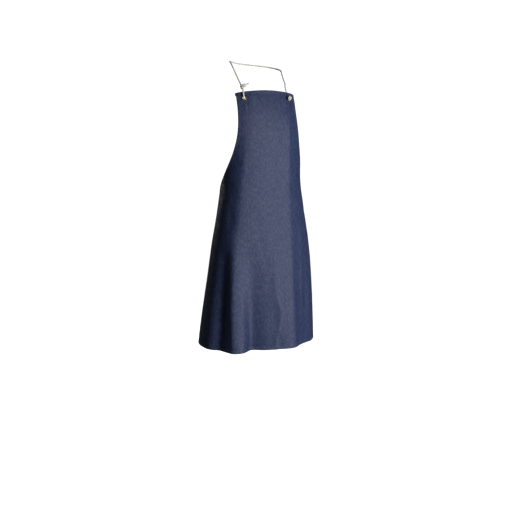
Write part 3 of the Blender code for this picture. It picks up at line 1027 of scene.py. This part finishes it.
def washer_profile():
    return rounded((
        (WASHER, -0.0008),
        (WASHER, -0.00135),
        (WASHER - 0.0007, -0.0015),
        (BARREL + 0.0004, -0.0015),
        (BARREL + 0.0004, -0.0008),
    ), 0.2)


# ---- rope


def turn(start, end):
    """The rope's bend round an eyelet's upper lip, as (side, out, up)."""
    angles = np.radians(np.linspace(start, end, 7))
    return [(0, TURN_RADIUS * math.cos(a), TURN_RADIUS + TURN_RADIUS * math.sin(a)) for a in angles]


def stopper_coil():
    """The stopper knot's turns in front of the left eyelet, from its end to the hole."""
    lean = math.radians(27)
    axis = np.array((math.cos(lean), 0, -math.sin(lean)))
    tall = np.array((math.sin(lean), 0, math.cos(lean)))
    deep = np.array((0, 1, 0))
    places = []
    for angle in range(-80, 560, 28):
        a = math.radians(angle)
        along = 0.0066 - 0.0069 * (angle + 80) / 360
        round_axis = COIL_TALL * math.cos(a) * tall + COIL_DEEP * math.sin(a) * deep
        places.append(np.array(STOPPER_CENTRE) + along * axis + round_axis)
    return places[::-1]


def tie_coil():
    """One and a half turns round the standing rope, upwards from behind it to in front of it."""
    places = []
    for angle in range(250, -271, -26):
        a = math.radians(angle)
        share = (270 - angle) / 540
        centre = np.array((0.0030 - 0.0022 * share, 0.0016 - 0.0006 * share, 0.0368 + 0.0092 * share))
        places.append(centre + np.array((0.0080 * math.cos(a), 0.0062 * math.sin(a), 0.0016 * math.cos(a))))
    return places


def rope_route():
    """The middle of the rope from the stopper's end to the tail of the tie."""
    left = [*stopper_coil(), (0.0006, 0.0026, 0.0), *turn(270, 180), *LEG_BACK]
    right = [*INTO_TIE, *BIGHT_FRONT, *turn(0, -180), *BIGHT_BACK, *tie_coil(), *TAIL_POINTS]
    return np.concatenate([beside("left_bib", left), LOOP_POINTS, beside("right_bib", right)])


def smooth_path(points, spacing):
    """Places this far apart on a smooth curve through the points, paced by the distance between them."""
    steps = np.concatenate([[0], np.cumsum(np.linalg.norm(np.diff(points, axis=0), axis=1) ** 0.5)])
    slopes = np.gradient(points, steps, axis=0)
    fine = []
    for i in range(len(points) - 1):
        span = steps[i + 1] - steps[i]
        t = np.linspace(0, 1, 24, endpoint=False)[:, None]
        fine.append(hermite(t, span, points[i : i + 2], slopes[i : i + 2]))
    fine = np.concatenate([*fine, points[-1:]])
    lengths = np.concatenate([[0], np.cumsum(np.linalg.norm(np.diff(fine, axis=0), axis=1))])
    wanted = np.linspace(0, lengths[-1], round(lengths[-1] / spacing) + 1)
    path = np.stack([np.interp(wanted, lengths, fine[:, axis]) for axis in range(3)], axis=-1)
    return path, wanted


def carried_frames(path):
    """Two unit vectors across the path at each place, carried along it without twisting."""
    tangents = unit(np.gradient(path, axis=0))
    side = unit(np.cross(tangents[0], (0.3, 0.2, 1.0)))
    sides = []
    for tangent in tangents:
        side = unit(side - (side @ tangent) * tangent)
        sides.append(side)
    sides = np.array(sides)
    return sides, np.cross(tangents, sides)


def build_rope(settings):
    """Three strands laid round the route, with their ends a little opened."""
    path, steps = smooth_path(rope_route(), RING_SPACING)
    sides, ups = carried_frames(path)
    corners = STRAND_CORNERS
    radius = STRAND_RADIUS * settings.diameter
    total = steps[-1]
    open_end = 0.10 * np.exp(-steps / 0.003) + 0.32 * np.exp(-(total - steps) / 0.0045)
    points, faces, flat, wear_and_shade = [], [], [], []
    for strand in range(3):
        angle = 2 * math.pi * (steps / settings.lay + strand / 3)
        outward = np.cos(angle)[:, None] * sides + np.sin(angle)[:, None] * ups
        offset = settings.diameter * (STRAND_OFFSET + open_end)
        middle = path + offset[:, None] * outward
        tangents = unit(np.gradient(middle, axis=0))
        outward = unit(outward - (outward * tangents).sum(1, keepdims=True) * tangents)
        binormal = np.cross(tangents, outward)
        taper = np.sqrt(np.clip(np.minimum(steps, total - steps) / 0.0012, 0.02, 1))
        uneven = 0.03 * np.sin(steps * 700 + strand * 2) + 0.03 * np.sin(steps * 263 + strand)
        plump = radius * taper * (1 + uneven)
        first = len(points) * len(path) * corners
        turns = np.linspace(0, 2 * math.pi, corners, endpoint=False)
        ring = (
            middle[:, None]
            + (plump[:, None] * np.cos(turns))[..., None] * outward[:, None]
            + (plump[:, None] * np.sin(turns) * 1.08)[..., None] * binormal[:, None]
        )
        points.append(ring.reshape(-1, 3))
        faces += tube_faces(len(path), corners, first)
        faces.append(tuple(first + k for k in reversed(range(corners))))
        last = first + (len(path) - 1) * corners
        faces.append(tuple(last + k for k in range(corners)))
        around = np.broadcast_to(turns / (2 * math.pi), (len(path), corners))
        flat.append(np.stack([around.ravel(), np.repeat(steps, corners)], axis=-1))
        # Painted shade: each strand is marked darker on its side that faces the rope's middle, where the grooves
        # between strands lie.
        wear_and_shade.append(np.broadcast_to(np.clip(-np.cos(turns), 0, 1), (len(path), corners)).ravel())
    obj = add_mesh(
        "neck_loop_rope", np.concatenate(points), faces, [cotton()], None, np.concatenate(flat), np.concatenate(wear_and_shade)
    )
    face_out(obj)
    return obj, path, total


# ---- stage


def towards(azimuth, elevation):
    a, e = math.radians(azimuth), math.radians(elevation)
    return Vector((math.sin(a) * math.cos(e), -math.cos(a) * math.cos(e), math.sin(e)))


def area_light(name, azimuth, elevation, distance, size, power, colour):
    light = bpy.data.lights.new(name, "AREA")
    light.shape = "RECTANGLE"
    light.size, light.size_y = size
    light.energy = power
    light.color = colour
    obj = show(name, light)
    obj.location = AIM + distance * towards(azimuth, elevation)
    obj.rotation_euler = (AIM - obj.location).to_track_quat("-Z", "Y").to_euler()
    obj.visible_camera = False


def backdrop_material():
    """Nearly white, and a little greyer on the floor."""
    nodes = Nodes("paper_backdrop")
    place = nodes.add("ShaderNodeTexCoord").outputs["Object"]
    height = nodes.add("ShaderNodeSeparateXYZ", {"Vector": place}).outputs["Z"]
    share = nodes.add("ShaderNodeMapRange", {"Value": height, "From Min": -1.45, "From Max": -0.9})
    grain = nodes.noise(place, 40.0)
    colour = nodes.mix(grain, (0.88, 0.88, 0.87, 1), (0.92, 0.92, 0.91, 1))
    glow = nodes.mix(share.outputs[0], (0.93, 0.93, 0.93, 1), (1, 1, 1, 1))
    return nodes.finish(Base_Color=colour, Roughness=0.95, Emission_Color=glow, Emission_Strength=1.0)


def build_stage(settings):
    angles = np.linspace(0, math.pi / 2, 13)
    curve = [(SWEEP_START + SWEEP_BEND * math.sin(a), FLOOR_Z + SWEEP_BEND * (1 - math.cos(a))) for a in angles]
    wall = SWEEP_START + SWEEP_BEND
    profile = [(0.001, FLOOR_Z), (1.0, FLOOR_Z), (2.0, FLOOR_Z), *curve, (wall, 2.0), (wall, WALL_TOP)]
    segments = 72
    rings = [
        [(r * math.cos(a), r * math.sin(a), z) for a in np.linspace(0, 2 * math.pi, segments, endpoint=False)]
        for r, z in profile
    ]
    faces = tube_faces(len(profile), segments)
    sweep = add_mesh("paper_sweep", np.concatenate(rings), faces, [backdrop_material()])
    sweep.visible_diffuse = False
    sweep.visible_glossy = False
    sweep.visible_shadow = False
    area_light("key_light", 20, 4, 2.3, (1.3, 1.7), settings.key, (1.0, 0.985, 0.96))
    area_light("back_light", 180, 28, 2.4, (1.6, 1.6), settings.back, (1.0, 1.0, 1.0))
    world = bpy.data.worlds.new("soft_room")
    world.use_nodes = True
    background = world.node_tree.nodes["Background"]
    background.inputs["Color"].default_value = (0.95, 0.97, 1.0, 1)
    background.inputs["Strength"].default_value = settings.fill
    bpy.context.scene.world = world
    bpy.context.scene.view_settings.view_transform = "Standard"
    camera = bpy.data.cameras.new("camera")
    camera.sensor_width = 36
    camera.lens = 51.4
    camera.shift_x = -0.0073
    camera.shift_y = -0.0762
    camera.clip_start = 0.05
    obj = show("camera", camera)
    back = towards(CAMERA_AZIMUTH, CAMERA_ELEVATION)
    obj.location = AIM + CAMERA_DISTANCE * back
    obj.rotation_euler = back.to_track_quat("Z", "Y").to_euler()
    bpy.context.scene.camera = obj


# ---- operators


class APRON_OT_cloth(bpy.types.Operator):
    """Hang the denim panel with its folds, creases and wrinkles, and its rolled hems"""

    bl_idname = "apron.cloth"
    bl_label = "Cloth and hems"

    def execute(self, context):
        settings = context.scene.apron_cloth
        sheet = build_cloth(settings)
        hems = build_hems(settings)
        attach(sheet, "apron")
        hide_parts("denim_panel")
        nodes = {
            "top_hem_roll": ("top_hem",),
            "bottom_hem_roll": ("bottom_hem",),
            "right_hem_roll": ("right_armhole_hem", "right_side_hem"),
            "left_hem_roll": ("left_armhole_hem", "left_side_hem"),
        }
        for name, hem in hems.items():
            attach(hem, "apron")
            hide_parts(*nodes[name])
        area = float(half_width(np.linspace(0, FLAT_LENGTH, 901)).mean() * 2 * FLAT_LENGTH)
        return {"FINISHED"}


class APRON_OT_stitching(bpy.types.Operator):
    """Sew the hems"""

    bl_idname = "apron.stitching"
    bl_label = "Hem stitching"

    def execute(self, context):
        stitches = build_stitching(context.scene.apron_stitching)
        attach(stitches, "apron")
        return {"FINISHED"}


class APRON_OT_eyelets(bpy.types.Operator):
    """Set the four brass eyelets and their washers"""

    bl_idname = "apron.eyelets"
    bl_label = "Brass eyelets"

    def execute(self, context):
        segments = context.scene.apron_brass.segments
        for name in EYELETS:
            for kind, profile in (("eyelet", eyelet_profile()), ("washer", washer_profile())):
                ring = turned(f"{name}_brass_{kind}", name, profile, segments)
                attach(ring, "apron")
                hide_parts(f"{name}_{kind}")
        return {"FINISHED"}


class APRON_OT_rope(bpy.types.Operator):
    """Lay the neck loop, from its stopper knot to its tie"""

    bl_idname = "apron.rope"
    bl_label = "Rope neck loop"

    def execute(self, context):
        settings = context.scene.apron_rope
        rope, path, length = build_rope(settings)
        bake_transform(rope)
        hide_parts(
            "neck_rope", "right_rope_bight", "tie_knot", "tie_tail", "left_rope_leg", "stopper_knot"
        )
        hole = [float(x) for x in beside("left_bib", (0, 0.0015, 0))[0]]
        return {"FINISHED"}


class APRON_OT_stage(bpy.types.Operator):
    """Set up the backdrop, lights and camera"""

    bl_idname = "apron.stage"
    bl_label = "Stage"

    def execute(self, context):
        build_stage(context.scene.apron_stage)
        return {"FINISHED"}


class APRON_PT_parts(bpy.types.Panel):
    bl_label = "Apron"
    bl_idname = "APRON_PT_parts"
    bl_space_type = "VIEW_3D"
    bl_region_type = "UI"
    bl_category = "Apron"

    def draw(self, context):
        for operator, group in STEPS:
            box = self.layout.box()
            box.operator(operator.bl_idname)
            settings = getattr(context.scene, group)
            for name in type(settings).__annotations__:
                box.prop(settings, name)


STEPS = (
    (APRON_OT_stage, "apron_stage"),
    (APRON_OT_rope, "apron_rope"),
    (APRON_OT_cloth, "apron_cloth"),
    (APRON_OT_stitching, "apron_stitching"),
    (APRON_OT_eyelets, "apron_brass"),
)
GROUPS = {
    "apron_cloth": APRON_PG_cloth,
    "apron_stitching": APRON_PG_stitching,
    "apron_brass": APRON_PG_brass,
    "apron_rope": APRON_PG_rope,
    "apron_stage": APRON_PG_stage,
}


def register():
    for name, group in GROUPS.items():
        bpy.utils.register_class(group)
        setattr(bpy.types.Scene, name, bpy.props.PointerProperty(type=group))
    for operator, _ in STEPS:
        bpy.utils.register_class(operator)
    bpy.utils.register_class(APRON_PT_parts)


def unregister():
    bpy.utils.unregister_class(APRON_PT_parts)
    for operator, _ in STEPS:
        bpy.utils.unregister_class(operator)
    for name, group in GROUPS.items():
        delattr(bpy.types.Scene, name)
        bpy.utils.unregister_class(group)


def main():
    register()
    bpy.ops.apron.stage()
    bpy.ops.apron.rope()
    bpy.ops.apron.cloth()
    bpy.ops.apron.stitching()
    bpy.ops.apron.eyelets()


if __name__ == "__main__":
    main()
